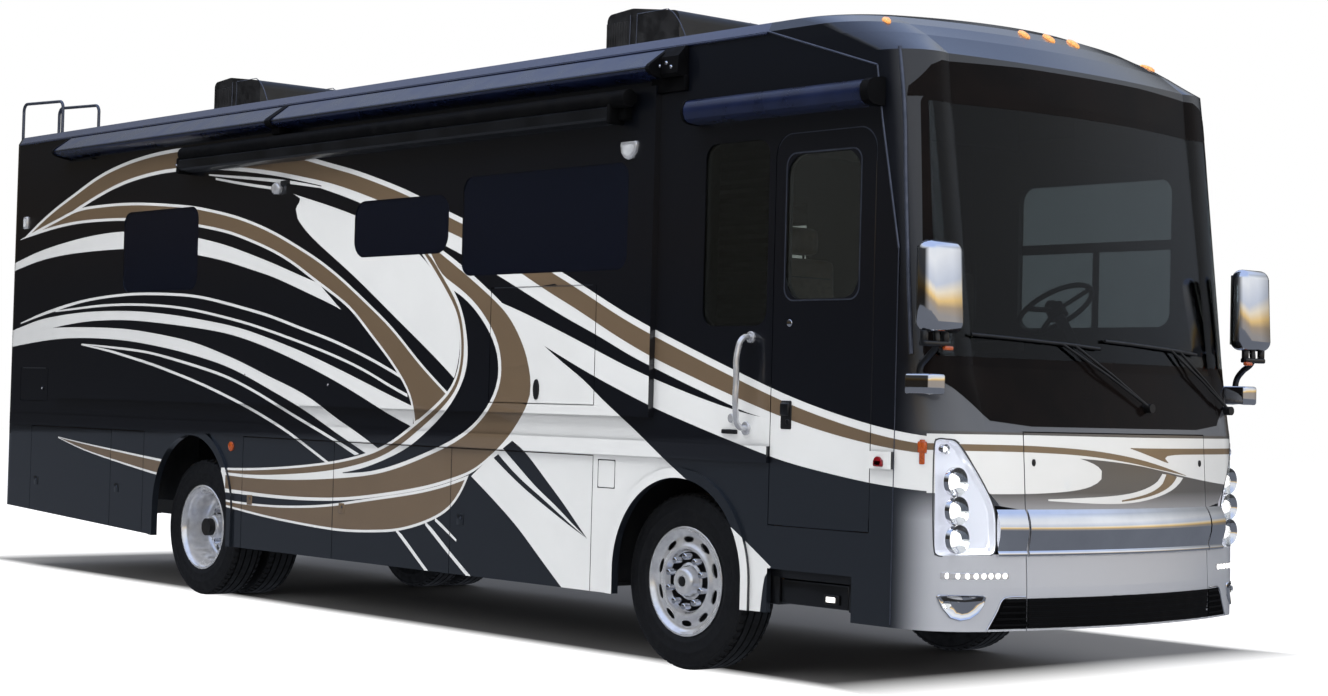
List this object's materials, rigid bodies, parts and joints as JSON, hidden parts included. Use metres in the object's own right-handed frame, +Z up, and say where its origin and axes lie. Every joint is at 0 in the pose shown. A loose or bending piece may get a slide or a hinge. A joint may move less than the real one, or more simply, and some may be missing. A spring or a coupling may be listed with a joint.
{
  "type": "motorhome coach",
  "caption": "Large class A motorhome coach with a side slide-out, hinged storage bay doors, entry door, steered front wheels and twin rear wheels.",
  "frame": {"origin": "on the ground under the middle of the coach", "axes": "+X forward, +Y to the left side, +Z up"},
  "size_m": [10.7193, 2.885, 3.9639],
  "materials": {
    "coach_paint": "metallic charcoal with clear coat, sand and silver stripes",
    "roof_gelcoat": "white gelcoat",
    "black_plastic": "moulded black",
    "tinted_glass": "dark tinted safety glass",
    "windscreen_glass": "laminated, lightly tinted",
    "tyre_rubber": "ribbed coach tyre",
    "polished_aluminium": "polished forged wheel",
    "chrome_trim": "bright chrome",
    "chassis_black": "satin black chassis paint",
    "spring_rubber": "rolling rubber bellows",
    "engine_iron": "cast block, painted grey",
    "seat_leather": "tan hide",
    "dash_plastic": "grained moulding",
    "floor_board": "laminated floor board",
    "lamp_lens": "clear lamp cover over dark housing",
    "awning_casing": "powder coated casing"
  },
  "bodies": {
    "coach": {"air_springs": "spring_rubber", "belt_mouldings": "coach_paint", "cab_seats": "seat_leather", "cabin_floor": "floor_board", "chassis_frame": "chassis_black", "dashboard": "dash_plastic", "door_awning": "awning_casing", "engine": "engine_iron", "front_axle": "chassis_black", "front_cap": "coach_paint", "fuel_tank": "chassis_black", "headlamps": "lamp_lens", "ladder": "chrome_trim", "left_skirt": "coach_paint", "left_wall": "coach_paint", "mirrors": "chrome_trim", "patio_awning": "awning_casing", "rear_axle": "chassis_black", "rear_cap": "coach_paint", "right_skirt": "coach_paint", "right_wall": "coach_paint", "roof": "roof_gelcoat", "roof_air_conditioners": "black_plastic", "satellite_dome": "roof_gelcoat", "side_windows": "tinted_glass", "storage_bays": "chassis_black", "windscreen": "windscreen_glass", "wipers": "black_plastic"},
    "right_knuckle": {"right_knuckle": "chassis_black"},
    "right_front_wheel": {"right_front_rim": "polished_aluminium", "right_front_tyre": "tyre_rubber"},
    "right_rear_wheel": {"right_rear_rim": "polished_aluminium", "right_rear_tyre": "tyre_rubber"},
    "left_knuckle": {"left_knuckle": "chassis_black"},
    "left_front_wheel": {"left_front_rim": "polished_aluminium", "left_front_tyre": "tyre_rubber"},
    "left_rear_wheel": {"left_rear_rim": "polished_aluminium", "left_rear_tyre": "tyre_rubber"},
    "tie_rod": {"tie_rod": "chassis_black"},
    "steering_wheel": {"steering_wheel": "black_plastic"},
    "entry_door": {"entry_door": "coach_paint", "entry_door_glass": "tinted_glass"},
    "right_bay_door_1": {"right_bay_door_1": "coach_paint"},
    "right_bay_door_2": {"right_bay_door_2": "coach_paint"},
    "right_bay_door_3": {"right_bay_door_3": "coach_paint"},
    "right_bay_door_4": {"right_bay_door_4": "coach_paint"},
    "right_bay_door_5": {"right_bay_door_5": "coach_paint"},
    "left_bay_door_1": {"left_bay_door_1": "coach_paint"},
    "left_bay_door_2": {"left_bay_door_2": "coach_paint"},
    "left_bay_door_3": {"left_bay_door_3": "coach_paint"},
    "fuel_door": {"fuel_door": "coach_paint"},
    "rear_side_hatch": {"rear_side_hatch": "coach_paint"},
    "slide_out": {"slide_out": "coach_paint", "slide_out_glass": "tinted_glass"},
    "media_hatch": {"media_hatch": "coach_paint"},
    "engine_hatch": {"engine_hatch": "coach_paint"},
    "front_hood": {"front_hood": "coach_paint"},
    "entry_step": {"entry_step": "chassis_black"}
  },
  "joints": [
    {"name": "right_rear_spin", "type": "hinge", "parent": "coach", "child": "right_rear_wheel", "pos_m": [-2.077, -0.9, 0.49], "axis": [0, 1, 0], "continuous": true},
    {"name": "left_rear_spin", "type": "hinge", "parent": "coach", "child": "left_rear_wheel", "pos_m": [-2.077, 0.9, 0.49], "axis": [0, 1, 0], "continuous": true},
    {"name": "right_steer", "type": "hinge", "parent": "coach", "child": "right_knuckle", "pos_m": [3.206, -0.95, 0.49], "axis": [0, 0, 1], "range_deg": [-40, 40]},
    {"name": "left_steer", "type": "hinge", "parent": "coach", "child": "left_knuckle", "pos_m": [3.206, 0.95, 0.49], "axis": [0, 0, 1], "range_deg": [-40, 40]},
    {"name": "right_front_spin", "type": "hinge", "parent": "right_knuckle", "child": "right_front_wheel", "pos_m": [3.206, -1.07, 0.49], "axis": [0, 1, 0], "continuous": true},
    {"name": "left_front_spin", "type": "hinge", "parent": "left_knuckle", "child": "left_front_wheel", "pos_m": [3.206, 1.07, 0.49], "axis": [0, 1, 0], "continuous": true},
    {"name": "tie_rod_pivot", "type": "hinge", "parent": "right_knuckle", "child": "tie_rod", "pos_m": [3.006, -0.95, 0.42], "axis": [0, 0, 1], "range_deg": [-40, 40]},
    {"name": "steering_wheel_turn", "type": "hinge", "parent": "coach", "child": "steering_wheel", "pos_m": [4.303, 0.6, 2.07], "axis": [-0.5736, 0, 0.8192], "range_deg": [-720, 720]},
    {"name": "entry_door_hinge", "type": "hinge", "parent": "coach", "child": "entry_door", "pos_m": [4.6819, -1.2825, 1.9], "axis": [0, 0, 1], "range_deg": [0, 95]},
    {"name": "right_bay_door_1_hinge", "type": "hinge", "parent": "coach", "child": "right_bay_door_1", "pos_m": [-3.3281, -1.2825, 0.8], "axis": [0, 0, 1], "range_deg": [0, 95]},
    {"name": "right_bay_door_2_hinge", "type": "hinge", "parent": "coach", "child": "right_bay_door_2", "pos_m": [-2.8161, -1.2825, 0.8], "axis": [0, 0, 1], "range_deg": [0, 95]},
    {"name": "right_bay_door_3_hinge", "type": "hinge", "parent": "coach", "child": "right_bay_door_3", "pos_m": [-0.2261, -1.2825, 0.8], "axis": [0, 0, 1], "range_deg": [0, 95]},
    {"name": "right_bay_door_4_hinge", "type": "hinge", "parent": "coach", "child": "right_bay_door_4", "pos_m": [1.0999, -1.2825, 0.8], "axis": [0, 0, 1], "range_deg": [0, 95]},
    {"name": "right_bay_door_5_hinge", "type": "hinge", "parent": "coach", "child": "right_bay_door_5", "pos_m": [2.4829, -1.2825, 0.8], "axis": [0, 0, 1], "range_deg": [0, 95]},
    {"name": "left_bay_door_1_hinge", "type": "hinge", "parent": "coach", "child": "left_bay_door_1", "pos_m": [-0.2261, 1.2825, 0.8], "axis": [0, 0, -1], "range_deg": [0, 95]},
    {"name": "left_bay_door_2_hinge", "type": "hinge", "parent": "coach", "child": "left_bay_door_2", "pos_m": [1.0999, 1.2825, 0.8], "axis": [0, 0, -1], "range_deg": [0, 95]},
    {"name": "left_bay_door_3_hinge", "type": "hinge", "parent": "coach", "child": "left_bay_door_3", "pos_m": [2.4829, 1.2825, 0.8], "axis": [0, 0, -1], "range_deg": [0, 95]},
    {"name": "fuel_door_hinge", "type": "hinge", "parent": "coach", "child": "fuel_door", "pos_m": [2.6809, -1.2825, 1.06], "axis": [0, 0, 1], "range_deg": [0, 95]},
    {"name": "rear_side_hatch_hinge", "type": "hinge", "parent": "coach", "child": "rear_side_hatch", "pos_m": [-4.663, -1.2825, 1.6269], "axis": [-1, 0, 0], "range_deg": [0, 85]},
    {"name": "slide_out_travel", "type": "slide", "parent": "coach", "child": "slide_out", "axis": [0, -1, 0], "range_m": [0, 0.66]},
    {"name": "media_hatch_hinge", "type": "hinge", "parent": "slide_out", "child": "media_hatch", "pos_m": [2.021, -1.3225, 2.1429], "axis": [-1, 0, 0], "range_deg": [0, 85]},
    {"name": "engine_hatch_hinge", "type": "hinge", "parent": "coach", "child": "engine_hatch", "pos_m": [-5.232, 0, 1.5019], "axis": [0, 1, 0], "range_deg": [0, 80]},
    {"name": "front_hood_hinge", "type": "hinge", "parent": "coach", "child": "front_hood", "pos_m": [5.255, 0, 0.42], "axis": [0, 1, 0], "range_deg": [0, 85]},
    {"name": "entry_step_travel", "type": "slide", "parent": "coach", "child": "entry_step", "axis": [0, -1, 0], "range_m": [0, 0.25]}
  ],
  "couplings": [
    {"joint": "left_steer", "follows": "right_steer", "ratio": 1},
    {"joint": "tie_rod_pivot", "follows": "right_steer", "ratio": -1},
    {"joint": "steering_wheel_turn", "follows": "right_steer", "ratio": 18}
  ]
}
